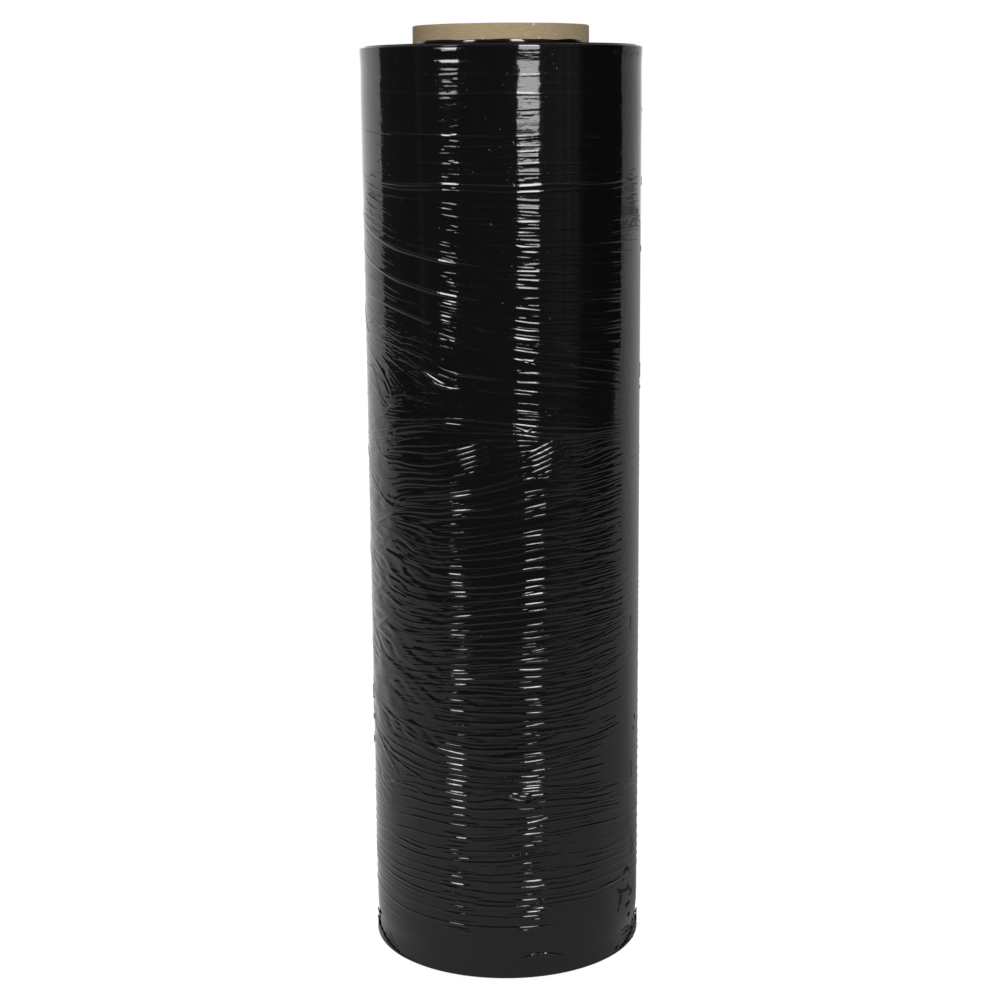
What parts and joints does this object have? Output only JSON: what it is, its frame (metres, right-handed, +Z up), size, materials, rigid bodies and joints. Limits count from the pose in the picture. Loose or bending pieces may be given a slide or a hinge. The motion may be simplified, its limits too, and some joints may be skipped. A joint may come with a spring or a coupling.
{
  "type": "stretch wrap roll",
  "caption": "Tall roll of glossy black stretch film with a creased outer skin, wound on a cardboard core that stands out at both ends.",
  "frame": {"origin": "middle of the core's lower rim, on the surface that the roll stands on", "axes": "+Z up along the roll's axis; -Y is the front, the side that the picture shows; +X is to its right"},
  "size_m": [0.138, 0.138, 0.4762],
  "materials": {
    "cardboard": "matt spiral-wound board, with its plies showing on the cut rims",
    "film": "glossy black stretch film, creased round the roll"
  },
  "bodies": {
    "root": {"core_tube": "cardboard", "film_roll": "film"}
  },
  "joints": []
}
